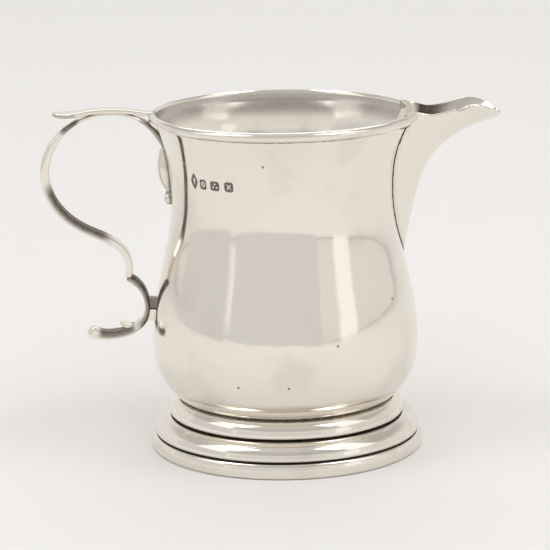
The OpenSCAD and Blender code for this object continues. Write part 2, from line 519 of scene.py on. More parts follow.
@dataclass
class BodyShape:
    """The outer surface of the raised body, which the soldered pieces follow."""

    belly_r: float
    floor_z: float
    lip_z: float
    lip_r: float = 34.4 * MM
    sheet: float = 0.7 * MM
    # How far inside the belly's radius the outline lies, and how high above the floor, in mm.
    outline: tuple[Pair, ...] = (
        (6.7, 0.3), (2.9, 4.8), (0.6, 10), (0, 17), (0.8, 25.5), (2.4, 33.5),
        (4.2, 41.5), (5.4, 48), (5.8, 54.5), (5.3, 62.5), (3.8, 70.5), (1.7, 76),
    )
    # Half the width of the opening for the spout, by height above its lowest point, in mm.
    opening: tuple[Pair, ...] = (
        (0, 0), (2.9, 3.5), (5.3, 8.5), (7.5, 14.5), (9.3, 21), (10.2, 27), (11.2, 32), (12.2, 38.5),
    )
    opening_z: float = 53.6 * MM
    rim_angle: float = math.radians(32.7)

    def __post_init__(self) -> None:
        """Works out the outline once, as a dense line of points."""
        knots = [(self.belly_r / MM - inset, self.floor_z / MM + up) for inset, up in self.outline]
        self.line = SmoothCurve(knots)(np.linspace(0, 1, 400)) * MM
        self.gap = SmoothCurve(list(self.opening))(np.linspace(0, 1, 80)) * MM

    def radius(self, height: Grid) -> Grid:
        """The outer radius at a height above the table."""
        return np.interp(height, self.line[:, 1], self.line[:, 0])

    def half_gap(self, height: Grid) -> Grid:
        """The half-angle of the spout's opening at a height."""
        half = np.interp(np.asarray(height) - self.opening_z, self.gap[:, 1], self.gap[:, 0])
        return np.arcsin(half / self.radius(height))

    def pull(self, turn: Grid, height: Grid) -> Grid:
        """How far the lip is pulled out of round, beside the spout."""
        side = np.abs((turn + math.pi) % (2 * math.pi) - math.pi)
        away = np.where(side < self.rim_angle, self.lip_r / np.cos(self.rim_angle - side) - self.lip_r, 0)
        return away * smooth_step(self.lip_z - 14 * MM, self.lip_z - 1.5 * MM, height)

    def surface(self, turn: Grid, height: Grid, inset: float = 0.0) -> Grid:
        """Points on the body, or a little inside it.

        Args:
            turn: Angles about the axis.
            height: Heights above the table.
            inset: How far inside the surface, measured along the radius.

        Returns:
            The points.
        """
        reach = self.radius(height) + self.pull(turn, height) - inset
        level = np.broadcast_to(height, reach.shape)
        return np.stack([reach * np.cos(turn), reach * np.sin(turn), level], axis=-1)

    def crevice_shade(self, points: Grid, reach: float = 0.45 * MM) -> Grid:
        """How dark the painted shade is on a soldered piece, by its distance from the wall.

        Args:
            points: The piece's points.
            reach: How far from the wall the painted shade spreads.

        Returns:
            Painted shade from 0 to 1.
        """
        flat = np.linalg.norm(points[..., :2], axis=-1)
        turn = np.arctan2(points[..., 1], points[..., 0])
        away = flat - self.radius(points[..., 2]) - self.pull(turn, points[..., 2])
        below = points[..., 2] < self.lip_z - 2.4 * MM
        return np.where(below, 0.9 * np.exp(-np.clip(away, 0, None) / reach), 0)

    def seat(self, points: Grid, bite: float = 0.3 * MM) -> Grid:
        """Draws points that lie deep inside the body out to its wall.

        Args:
            points: The points of a soldered piece.
            bite: How far into the wall the piece may reach.

        Returns:
            The points, none of them deeper than that.
        """
        flat = np.linalg.norm(points[..., :2], axis=-1)
        turn = np.arctan2(points[..., 1], points[..., 0])
        wall = self.radius(points[..., 2]) + self.pull(turn, points[..., 2]) - bite
        grow = np.where(flat < wall, wall / np.maximum(flat, 1e-9), 1)
        out = points.copy()
        out[..., :2] *= grow[..., None]
        return out


class Pattern(Enum):
    """Plain raised patterns for the punched marks."""

    BAR = "bar"
    RING = "ring"
    DOTS = "dots"
    CROSS = "cross"


@dataclass(frozen=True)
class Punch:
    """One small punched mark."""

    turn: float
    drop: float
    half_wide: float
    half_high: float
    pattern: Pattern
    corner: float = 4.0

    def raised(self, u: Grid, v: Grid) -> Grid:
        """The raised pattern inside the mark.

        Args:
            u: Distance to the right of the centre, in mm.
            v: Distance above the centre, in mm.

        Returns:
            1 on the pattern and 0 off it, with soft edges.
        """
        if self.pattern is Pattern.BAR:
            edge = np.minimum(np.maximum(np.abs(u) - 0.16, np.abs(v) - 1.0), np.hypot(u, v - 0.2) - 0.42)
        elif self.pattern is Pattern.RING:
            edge = np.minimum(np.abs(np.hypot(u, v) - 0.6) - 0.15, np.hypot(u, v) - 0.18)
        elif self.pattern is Pattern.DOTS:
            spots = [np.hypot(u - x, v - y) - 0.27 for x, y in ((-0.55, -0.4), (0.55, -0.4), (0, 0.45))]
            edge = np.minimum.reduce(spots)
        else:
            bars = (np.abs(u + v) / 1.414, np.abs(u - v) / 1.414)
            edge = np.maximum(np.minimum(*bars) - 0.15, np.hypot(u, v) - 0.85)
        return smooth_step(0.1, -0.08, edge)

    def field(self, u: Grid, v: Grid) -> Grid:
        """The sunk field of the mark, 1 inside and 0 outside."""
        across, up = np.abs(u / self.half_wide), np.abs(v / self.half_high)
        reach = (across**self.corner + up**self.corner) ** (1 / self.corner)
        return smooth_step(0.09, -0.05, (reach - 1) * min(self.half_wide, self.half_high))


@dataclass
class PunchRow:
    """The row of four punched marks under the rim, with patterns that stand for nothing."""

    shape: BodyShape
    depth: float = 0.13 * MM
    marks: tuple[Punch, ...] = (
        Punch(-139.0, 15.0, 1.3, 2.1, Pattern.BAR, 1.25),
        Punch(-132.9, 15.5, 1.15, 1.3, Pattern.RING),
        Punch(-125.5, 15.5, 1.45, 1.25, Pattern.DOTS),
        Punch(-117.4, 15.4, 1.3, 1.3, Pattern.CROSS),
    )

    def relief(self, turn: Grid, height: Grid) -> tuple[Grid, Grid]:
        """How far the surface is sunk, and how dark it is.

        Args:
            turn: Angles about the axis.
            height: Heights above the table.

        Returns:
            Insets in metres, and tarnish from 0 to 1.
        """
        inset = np.zeros(np.broadcast(turn, height).shape)
        dark = np.zeros_like(inset)
        for mark in self.marks:
            away = (turn - math.radians(mark.turn) + math.pi) % (2 * math.pi) - math.pi
            u = away * self.shape.radius(height) / MM
            v = (height - (self.shape.lip_z - mark.drop * MM)) / MM
            sunk = mark.field(u, v)
            up = mark.raised(u, v)
            inset += self.depth * sunk * (1 - 0.85 * up)
            dark += sunk * (1 - up) * 0.95
        return inset, dark


@dataclass
class Vessel:
    """The raised body, open at the top and behind the spout."""

    shape: BodyShape
    rows: int = 80
    mark_rows: int = 44
    mark_columns: int = 130
    # Shares of the way round that hold the punched marks.
    mark_span: Pair = (0.610, 0.708)
    # Depths under the lip between which the rows are close together for the marks.
    mark_depths: Pair = (18 * MM, 12.4 * MM)
    lip_height: float = 1.2 * MM
    lip_rounding: float = 0.09 * MM
    # How much thinner the sheet is at the lip, and over which height it thins.
    lip_thinning: float = 0.75
    flare_height: float = 5.5 * MM
    floor_thickening: float = 0.45 * MM
    # The inner fillet between wall and floor, as steps inwards and downwards.
    fillet: tuple[Pair, ...] = ((0, 0), (1.2 * MM, 0.75 * MM))
    fillet_reach: float = 3.6 * MM
    fillet_rise: float = 0.9 * MM
    # How dark the painted reflection is on the inner wall under the lip.
    inner_lip_reflection: float = 0.45

    def _parts(self) -> Grid:
        """Places around the body, closer together at the punched marks."""
        start, end = self.mark_span
        marks = np.linspace(start, end, self.mark_columns)
        return np.concatenate([np.linspace(0, start, 150)[:-1], marks, np.linspace(end, 1, 72)[1:]])

    def _outside(self, height: Grid) -> Grid:
        """The outer profile, from the middle of the underside to the lip.

        Args:
            height: Heights of the wall's rows.

        Returns:
            Points of radius and height.
        """
        shape = self.shape
        fine_low, fine_high = (shape.lip_z - depth for depth in self.mark_depths)
        fine = np.linspace(fine_low, fine_high, self.mark_rows)
        height = np.sort(np.concatenate([height[(height < fine[0]) | (height > fine[-1])], fine]))
        line = np.stack([shape.radius(height), height], axis=1)
        lip = [[shape.lip_r, shape.lip_z - self.lip_height], [shape.lip_r, shape.lip_z - 0.1 * MM]]
        half_way = 0.5 * line[0, 0]
        under = [[0, shape.floor_z], [half_way, shape.floor_z], [line[0, 0] - 0.5 * MM, shape.floor_z]]
        return np.concatenate([under, line, lip])

    def _inside(self, height: Grid) -> Grid:
        """The inner profile, from the lip to the middle of the floor.

        Args:
            height: Heights of the wall's rows.

        Returns:
            Points of radius and height.
        """
        shape = self.shape
        wall = np.stack([shape.radius(height), height], axis=1)
        thinner = 1 - self.lip_thinning * smooth_step(shape.lip_z - self.flare_height, shape.lip_z, height)
        wall = wall + profile_normals(wall) * shape.sheet * thinner[:, None]
        floor_z = wall[0, 1] + self.floor_thickening
        wall = wall[wall[:, 1] > floor_z + self.fillet_rise][::-1]
        heel = wall[-1]
        knots = [(heel[0] - inward, heel[1] - down) for inward, down in self.fillet]
        fillet = SmoothCurve([*knots, (heel[0] - self.fillet_reach, floor_z)])
        floor = np.concatenate([fillet(np.linspace(0.1, 1, 9)), [[0.6 * heel[0], floor_z], [0, floor_z]]])
        return np.concatenate([wall, floor])

    def build(self) -> bpy.types.Object:
        """Makes the body as one closed sheet.

        Returns:
            The body.
        """
        shape = self.shape
        height = np.linspace(shape.line[0, 1], shape.line[-1, 1], self.rows)
        height[np.argmin(np.abs(height - shape.opening_z))] = shape.opening_z
        outside = self._outside(height)
        edge = self.lip_rounding
        top = arc((shape.lip_r - edge, shape.lip_z - edge), edge, 90, 180, 4)
        loop = np.concatenate([outside, top, self._inside(height)])

        level = loop[None, :, 1]
        gap = np.where(level > shape.opening_z, shape.half_gap(level), 0)
        turn = gap + self._parts()[:, None] * (2 * math.pi - 2 * gap)
        sunk, dark = PunchRow(shape).relief(turn, level)
        on_outside = np.arange(len(loop))[None, :] < len(outside)
        reach = loop[None, :, 0] + shape.pull(turn, level) - np.where(on_outside, sunk, 0)
        dark = np.maximum(np.where(on_outside, dark, 0), self._painted_shade(loop)[None, :])
        # Painted dark reflection on the inner wall just under the lip.
        wear_and_lip_reflection = self.inner_lip_reflection * smooth_step(shape.lip_z - 7.5 * MM, shape.lip_z - 4 * MM, level)
        dark = np.maximum(dark, np.where(on_outside, 0, wear_and_lip_reflection))
        level = np.broadcast_to(level, reach.shape)
        rows = np.stack([reach * np.cos(turn), reach * np.sin(turn), level], axis=2)
        skin = Skin("body")
        first = skin.grid(rows, dark, wrap_ring=False)
        self._close_opening(skin, first, loop, len(outside), len(top))
        return skin.build()

    def _painted_shade(self, loop: Grid) -> Grid:
        """Painted shade where the body meets the foot."""
        foot = 1 - smooth_step(0.2 * MM, 0.9 * MM, loop[:, 1] - self.shape.line[0, 1])
        return np.where(loop[:, 0] > self.shape.line[0, 0] - 1 * MM, foot * 0.15, 0)

    def _close_opening(self, skin: Skin, first: int, loop: Grid, outside: int, top: int) -> None:
        """Closes the sheet's cut edge on both sides of the spout.

        Args:
            skin: The skin that holds the body's grid.
            first: The grid's first point.
            loop: The profile's points.
            outside: How many of them lie on the outer surface.
            top: How many lie on the lip's edge.
        """
        open_z = self.shape.opening_z
        outer = [i for i in range(outside) if loop[i, 1] >= open_z - 1e-9]
        inner = [i for i in range(outside + top, len(loop)) if loop[i, 1] >= open_z - 1e-9][::-1]
        edge = list(range(outside, outside + top))
        for column in (0, len(self._parts()) - 1):
            start = first + column * len(loop)
            a, b = 0, 0
            while a < len(outer) - 1 or b < len(inner) - 1:
                inner_done, outer_left = b == len(inner) - 1, a < len(outer) - 1
                step_outer = inner_done or (outer_left and loop[outer[a + 1], 1] < loop[inner[b + 1], 1])
                corner = outer[a + 1] if step_outer else inner[b + 1]
                skin.face([start + outer[a], start + corner, start + inner[b]])
                a, b = (a + 1, b) if step_outer else (a, b + 1)
            skin.face([start + i for i in (outer[-1], *edge, inner[-1])])


@dataclass
class RimWire:
    """The half-round wire around the lip, with a straight end on each side of the spout."""

    shape: BodyShape
    height: float
    thickness: float = 1.6 * MM
    straight: float = 12.6 * MM
    section_points: int = 18

    def path(self) -> tuple[Grid, Grid]:
        """The wire's line along the lip's outer face, seen from above.

        Returns:
            Points, and the outward direction at each.
        """
        start = self.shape.rim_angle
        turn = np.linspace(start, 2 * math.pi - start, 340)
        outward = np.stack([np.cos(turn), np.sin(turn)], axis=1)
        ring = outward * self.shape.lip_r
        ends = []
        for side in (1, -1):
            out = np.array([math.cos(start), side * math.sin(start)])
            along = np.array([math.sin(start), -side * math.cos(start)])
            reach = np.linspace(self.straight, 0, 24, endpoint=False)[:, None]
            ends.append((out * self.shape.lip_r + along * reach, np.repeat(out[None, :], 24, axis=0)))
        points = np.concatenate([ends[0][0], ring, ends[1][0][::-1]])
        return points, np.concatenate([ends[0][1], outward, ends[1][1][::-1]])

    def build(self) -> bpy.types.Object:
        """Sweeps the half-round section along the lip.

        Returns:
            The wire.
        """
        points, outward = self.path()
        half = self.height / 2
        middle = self.shape.lip_z - half
        bow = arc((0, 0), 1, -90, 90, self.section_points)
        reach = np.concatenate([bow[:, 0] * self.thickness, [-0.25 * MM, -0.25 * MM]])
        level = np.concatenate([middle + bow[:, 1] * half, [middle + half * 0.96, middle - half * 0.96]])
        fade = np.ones(len(points))
        fade[:14] = np.sqrt(np.linspace(0.12, 1, 14))
        fade[-14:] = fade[:14][::-1]
        rows = np.zeros((len(points), len(reach), 3))
        spread = reach[None, :, None] * fade[:, None, None]
        rows[..., :2] = points[:, None, :] + outward[:, None, :] * spread
        rows[..., 2] = self.shape.lip_z - (self.shape.lip_z - level[None, :]) * (0.35 + 0.65 * fade[:, None])
        # Painted shade on the wire's lower edge, against the wall.
        underside_shade = np.clip((middle - 0.75 * half - level) / (0.25 * half), 0, 1) * 0.55
        skin = Skin("rim_wire_round")
        first = skin.grid(rows, underside_shade[None, :])
        wide = len(reach)
        skin.face([first + k for k in range(wide)])
        skin.face([first + (len(points) - 1) * wide + k for k in range(wide)])
        return skin.build()


@dataclass
class Spout:
    """The applied spout: a bent sheet from the opening in the body to a narrow lip."""

    shape: BodyShape
    tip: float
    sheet: float = 0.85 * MM
    # Keel, edge, half-width and fullness of its sections. Reaches are measured back from the tip, in mm.
    sections: tuple[tuple[Pair, Pair, float, float], ...] = (
        ((25.0, 59.5), (22.4, 92.1), 8.5, 0.85),
        ((22.3, 71.0), (20.0, 91.4), 8.05, 0.66),
        ((18.4, 79.5), (16.6, 91.5), 7.8, 0.56),
        ((14.0, 83.9), (12.4, 92.6), 7.45, 0.5),
        ((9.0, 86.9), (8.2, 93.74), 6.9, 0.5),
        ((5.2, 88.5), (4.6, 93.1), 5.7, 0.5),
        ((2.2, 89.4), (1.9, 91.8), 3.7, 0.5),
        ((0.35, 90.05), (0.1, 90.9), 1.5, 0.5),
    )
    across: int = 72
    along: int = 110

    def outer(self) -> Grid:
        """The outer surface, from the opening's edge to the tip.

        Returns:
            Points, as stations by places across.
        """
        place = np.linspace(-1, 1, self.across + 1)
        stations = [self.seam(place)]
        for keel, edge, half, power in self.sections:
            keel_at = np.array([self.tip / MM - keel[0], keel[1]])
            edge_at = np.array([self.tip / MM - edge[0], edge[1]])
            lean = np.sin(np.abs(place) * math.pi / 2) if power <= 0.5 else np.abs(place)
            rise = lean ** (1 / power)
            side = np.sign(place) * lean * half
            plane = keel_at[None, :] + (edge_at - keel_at)[None, :] * rise[:, None]
            stations.append(np.stack([plane[:, 0], side, plane[:, 1]], axis=1) * MM)
        steps = np.linspace(0, 1, self.along)
        columns = np.stack(stations, axis=1)
        return np.stack([SmoothCurve(knots.tolist())(steps) for knots in columns], axis=1)

    def seam(self, place: Grid) -> Grid:
        """The line where the spout meets the body, by place across."""
        level = self.shape.opening_z + (self.shape.lip_z - self.shape.opening_z) * np.abs(place) ** 1.15
        return self.shape.surface(np.sign(place) * self.shape.half_gap(level), level)

    def build(self) -> bpy.types.Object:
        """Makes the spout as one closed sheet with rounded edges.

        Returns:
            The spout.
        """
        outside = self.outer()
        lengthwise = np.gradient(outside, axis=0)
        crosswise = np.gradient(outside, axis=1)
        outward = np.cross(lengthwise, crosswise)
        outward /= np.linalg.norm(outward, axis=2)[..., None]
        if outward[self.along // 2, self.across // 2, 2] > 0:
            outward = -outward
        width = np.linalg.norm(outside[:, -1] - outside[:, 0], axis=1)
        depth = np.minimum(self.sheet, 0.22 * width)[:, None, None]
        inside = outside - outward * depth
        rings = []
        for row in range(self.along):
            over = crosswise[row] / np.linalg.norm(crosswise[row], axis=1)[:, None]
            ends = []
            for k, sign in ((-1, 1), (0, -1)):
                middle, arm = (outside[row, k] + inside[row, k]) / 2, (outside[row, k] - inside[row, k]) / 2
                turn = np.radians([30, 60, 90, 120, 150])[:, None]
                lift = sign * over[k] * np.linalg.norm(arm)
                bow = middle + arm * np.cos(turn) + lift * np.sin(turn)
                ends.append(bow if k == -1 else bow[::-1])
            rings.append(np.concatenate([outside[row], ends[0], inside[row][::-1], ends[1]]))
        skin = Skin("pouring_spout")
        rows = np.stack(rings)
        first = skin.grid(rows, self._painted_shade(rows))
        wide = rows.shape[1]
        for row in (0, self.along - 1):
            start = first + row * wide
            last = self.across
            inner = [2 * last + 6 - k for k in range(last + 1)]
            for k in range(last):
                skin.face([start + k, start + k + 1, start + inner[k + 1], start + inner[k]])
            skin.face([start + k for k in range(last, inner[last] + 1)])
            skin.face([start + k for k in (*range(inner[0], wide), 0)])
        return skin.build()

    def _painted_shade(self, rows: Grid) -> Grid:
        """Painted shade deep inside the channel, and faint painted shade beside the solder line."""
        steps = np.arange(rows.shape[0])[:, None] / rows.shape[0]
        places = np.arange(rows.shape[1])[None, :]
        inside = (places > self.across + 3) & (places < 2 * self.across + 8)
        deep = 0.9 * smooth_step(0.15, 0.22, steps) * (1 - smooth_step(0.28, 0.62, steps)) + 0.1
        return np.where(inside, deep, 0.35 * np.exp(-steps / 0.014))


# ---------------------------------------------------------------- foot


@dataclass
class FootRing:
    """One turned ring of the foot."""

    name: str
    node: str
    line: Grid
    recess_z: float

    def build(self) -> bpy.types.Object:
        """Turns the ring's closed outline about the axis.

        Returns:
            The ring.
        """
        low = smooth_step(0.55 * MM, -0.1 * MM, self.line[:, 1] - self.recess_z)
        rows, dark = revolve(self.line, 240, low)
        skin = Skin(self.name)
        skin.grid(rows, dark, wrap_rows=True)
        return skin.build()


@dataclass
class Foot:
    """The stepped foot: two quarter-round rings on dark recesses, over a bulged base ring."""

    upper: Box
    middle: Box
    base: Box
    recess: float = 0.42 * MM
    wall: float = 1.2 * MM
    corner: float = 0.3 * MM

    def rings(self) -> list[FootRing]:
        """The three rings, from the top down."""
        return [
            self._quarter_round("foot_upper", "foot_upper_ring", self.upper, 3.2 * MM, 27.9 * MM),
            self._quarter_round("foot_middle", "foot_middle_ring", self.middle, 4.5 * MM, 29.5 * MM),
            self._bulged("foot_base", "foot_base_ring", self.base),
        ]

    def _quarter_round(self, name: str, node: str, box: Box, reach: float, inner: float) -> FootRing:
        """A hollow quarter-round ring on a recessed neck.

        Args:
            name: The ring's name.
            node: The frame's node it stands for.
            box: The node's box.
            reach: How far the quarter-round spreads from top to bottom.
            inner: The ring's inner radius at the top.

        Returns:
            The ring.
        """
        wide, top, low = box[1][0], box[1][2], box[0][2] + self.recess
        shoulder = wide - reach
        rise = top - low - self.corner
        turn = np.radians(np.linspace(4, 90, 26))
        bow = np.stack([shoulder + reach * np.sin(turn), low + self.corner + rise * np.cos(turn)], axis=1)
        edge = arc((wide - self.corner, low + self.corner), self.corner, -12, -90, 6)
        neck = wide - 1.05 * MM
        fillet = arc((neck + 0.15 * MM, low - 0.15 * MM), 0.15 * MM, 90, 180, 4)
        foot = [[neck, box[0][2]], [neck - self.wall, box[0][2]], [neck - self.wall, low]]
        inside = bow[::-4] - [self.wall, self.wall * 0.9]
        inside = inside[inside[:, 0] > inner]
        close = [[inner, top - self.wall], [inner, top], [shoulder, top]]
        return FootRing(name, node, np.concatenate([bow, edge, fillet, foot, inside, close]), low)

    def _bulged(self, name: str, node: str, box: Box) -> FootRing:
        """The base ring, with a bulged outer face.

        Args:
            name: The ring's name.
            node: The frame's node it stands for.
            box: The node's box.

        Returns:
            The ring.
        """
        wide, top = box[1][0] / MM, box[1][2] / MM
        knots = [
            (wide - 1.3, top), (wide - 0.75, top - 0.1), (wide - 0.35, top - 0.6), (wide - 0.02, top - 1.9),
            (wide - 0.12, 1.0), (wide - 0.45, 0.25), (wide - 1.0, 0),
        ]
        bow = SmoothCurve(knots)(np.linspace(0, 1, 40))
        inner = wide - 3.2
        inside = [(inner + 0.6, 0), (inner + 0.5, top - 1.6), (inner, top - 1), (inner, top)]
        return FootRing(name, node, np.concatenate([bow, inside]) * MM, -5 * MM)


# ---------------------------------------------------------------- handle


@dataclass
class Strap:
    """A strap along a line in the handle's plane, rounded on one face and flat on the other."""

    name: str
    node: str
    # Centre line, from the left and the bottom of the node's box, in mm.
    knots: tuple[Pair, ...]
    widths: tuple[float, ...]
    depths: tuple[float, ...]
    round_face: float = 1.0
    round_share: float = 0.5
    end_rounding: Pair = (0.5, 0.5)
    tail_ball: float = 0.0
    # Stains and painted shade: first and last share of the length, face (1 rounded, -1 flat, 0 both) and
    # amount.
    stains_and_shade: tuple[tuple[float, float, int, float], ...] = ()
    steps: int = 130
    around: int = 48

    def _fractions(self, length: float) -> tuple[Grid, Grid]:
        """Places along the line, closer together at both ends, and the section's size at each.

        Args:
            length: The line's length, in mm.

        Returns:
            Fractions of the length, and sizes from 0 to 1.
        """
        turn = np.radians(np.linspace(8, 90, 9))
        starts = self.end_rounding[0] * (1 - np.cos(turn)) / length
        ends = 1 - self.end_rounding[1] * (1 - np.cos(turn[::-1])) / length
        core = np.linspace(starts[-1], ends[0], self.steps)[1:-1]
        size = np.concatenate([np.sin(turn), np.ones(len(core)), np.sin(turn[::-1])])
        return np.concatenate([starts, core, ends]), size

    def rows(self, corner: Vector) -> tuple[Grid, Grid]:
        """Sections of the strap along its line.

        Args:
            corner: The low corner of the node's box.

        Returns:
            Points as sections by places around, and their stains and painted shade.
        """
        line = SmoothCurve(list(self.knots))
        at, size = self._fractions(line.at[-1])
        middle = line(at)
        dense = np.linspace(0, 1, 400)
        normal = profile_normals(line(dense))
        normal = np.stack([np.interp(at, dense, normal[:, 0]), np.interp(at, dense, normal[:, 1])], axis=1)
        normal /= np.linalg.norm(normal, axis=1)[:, None]
        width = np.interp(at * line.at[-1], line.at, self.widths) / 2 * size
        depth = np.interp(at * line.at[-1], line.at, self.depths) * size
        if self.tail_ball:
            width, depth = self._with_ball(at * line.at[-1], line.at[-1], width, depth)
        turn = np.linspace(0, 2 * math.pi, self.around, endpoint=False)
        across = np.sign(np.cos(turn)) * np.abs(np.cos(turn)) ** 0.5
        crown = np.abs(np.sin(turn)) ** 0.75 * self.round_share
        flat = np.abs(np.sin(turn)) ** 0.35 * (1 - self.round_share)
        bow = np.where(np.sin(turn) > 0, crown, -flat) * self.round_face
        out = np.zeros((len(at), self.around, 3))
        shift = depth[:, None] * bow[None, :]
        out[..., 0] = middle[:, None, 0] - normal[:, None, 0] * shift
        out[..., 1] = width[:, None] * across[None, :]
        out[..., 2] = middle[:, None, 1] - normal[:, None, 1] * shift
        out = out * MM
        out[..., 0] += corner[0]
        out[..., 2] += corner[2]
        return out, self._stain_and_shade_map(at, np.sin(turn))

    def _stain_and_shade_map(self, at: Grid, face: Grid) -> Grid:
        """Stains and painted shade of every point of the strap.

        Args:
            at: Shares of the length.
            face: Positive on the rounded face and negative on the flat one.

        Returns:
            Stains and painted shade, as sections by places around.
        """
        dark = np.zeros((len(at), len(face)))
        for start, end, side, amount in self.stains_and_shade:
            soft = max(0.02, 0.25 * (end - start))
            along = smooth_step(start - soft, start, at) * (1 - smooth_step(end, end + soft, at))
            over = np.ones(len(face)) if side == 0 else smooth_step(-0.65, 0.25, side * face)
            dark = np.maximum(dark, amount * along[:, None] * over[None, :])
        return dark

    def _with_ball(self, along: Grid, length: float, width: Grid, depth: Grid) -> tuple[Grid, Grid]:
        """Swells the last sections into a ball.

        Args:
            along: Distance of each section from the start, in mm.
            length: The whole length, in mm.
            width: Half-widths, in mm.
            depth: Depths, in mm.

        Returns:
            The new half-widths and depths.
        """
        centre = length - self.tail_ball
        swell = smooth_step(centre - 3.2, centre - 0.2, along)
        ball = np.sqrt(np.clip(self.tail_ball**2 - np.clip(along - centre, 0, None) ** 2, 0.01, None))
        return width * (1 - swell) + ball * swell, depth * (1 - swell) + 2 * ball * swell

    def build(self, corner: Vector, shape: BodyShape) -> bpy.types.Object:
        """Makes the strap.

        Args:
            corner: The low corner of the node's box.
            shape: The body, which the strap doesn't reach into.

        Returns:
            The strap.
        """
        rows, dark = self.rows(corner)
        skin = Skin(self.name)
        first = skin.grid(shape.seat(rows), np.maximum(dark, shape.crevice_shade(rows)))
        wide = rows.shape[1]
        skin.face(list(range(first, first + wide)))
        last = first + (len(rows) - 1) * wide
        skin.face(list(range(last, last + wide)))
        return skin.build()


@dataclass
class WallDrop:
    """The long drop and small bead on the wall under the handle."""

    name: str = "wall_drop_cast"
    lean: float = math.radians(-5)
    length: float = 16.4

    def build(self, box: Box, shape: BodyShape) -> bpy.types.Object:
        """Turns the drop about its own leaning axis.

        Args:
            box: The node's box.
            shape: The body that it stands on.

        Returns:
            The drop.
        """
        knots = [
            (0.05, 0), (0.9, 0.25), (1.45, 1.2), (1.4, 2.2), (0.85, 3.2), (0.75, 3.9), (1.35, 5.1),
            (2.1, 7.0), (2.4, 9.2), (2.2, 11.4), (1.6, 13.8), (0.85, 15.6), (0.05, self.length),
        ]
        line = SmoothCurve(knots)(np.linspace(0, 1, 90)) * MM
        line[:, 0] = np.maximum(line[:, 0], 0.02 * MM)
        # Painted shade in the neck between the bead and the drop.
        dark = np.exp(-((line[:, 1] / MM - 3.5) / 0.5) ** 2) * 0.7
        rows, shade = revolve(line, 40, dark)
        turn = Matrix.Rotation(self.lean, 3, "Y")
        place = np.array([box[0][0] + 3.34 * MM, 0, box[0][2]])
        rows = rows @ np.array(turn).T + place
        skin = Skin(self.name)
        shade = np.maximum(shade, shape.crevice_shade(rows))
        first = skin.grid(shape.seat(rows, 0.4 * MM), shade, wrap_rows=True, wrap_ring=False)
        wide = rows.shape[1]
        skin.face([first + i * wide for i in range(rows.shape[0])])
        skin.face([first + i * wide + wide - 1 for i in range(rows.shape[0])])
        return skin.build()


@dataclass
class WallLug:
    """The short two-part lug between the lower scroll and the belly."""

    name: str = "wall_lug_cast"
    # The joint's height as a share of the lug's, and the gap that shows there.
    joint_share: float = 0.53
    joint_gap: float = 0.06 * MM
    upper_inset: float = 0.25 * MM
    # How far the blocks reach into the scroll and into the wall.
    reach: Pair = (0.3 * MM, 0.4 * MM)

    def build(self, box: Box) -> bpy.types.Object:
        """Makes the lug's two blocks.

        Args:
            box: The node's box.

        Returns:
            The lug.
        """
        low, high = box
        joint = low[2] + self.joint_share * (high[2] - low[2])
        ends = (low[0] - self.reach[0], high[0] + self.reach[1])
        # The upper block is painted dark, as the shade where the scroll meets the belly.
        blocks = ((low[2], joint - self.joint_gap, 0.0, 0.0), (joint, high[2], self.upper_inset, 0.8))
        skin = Skin(self.name)
        for bottom, top, inset, shade in blocks:
            half = high[1] - inset
            rows = np.array([
                [[x, -half, bottom], [x, half, bottom], [x, half, top], [x, -half, top]] for x in ends
            ])
            first = skin.grid(rows, shade)
            skin.face([first, first + 1, first + 2, first + 3])
            skin.face([first + 4, first + 5, first + 6, first + 7])
        item = skin.build()
        soften(item, 0.3 * MM)
        return item


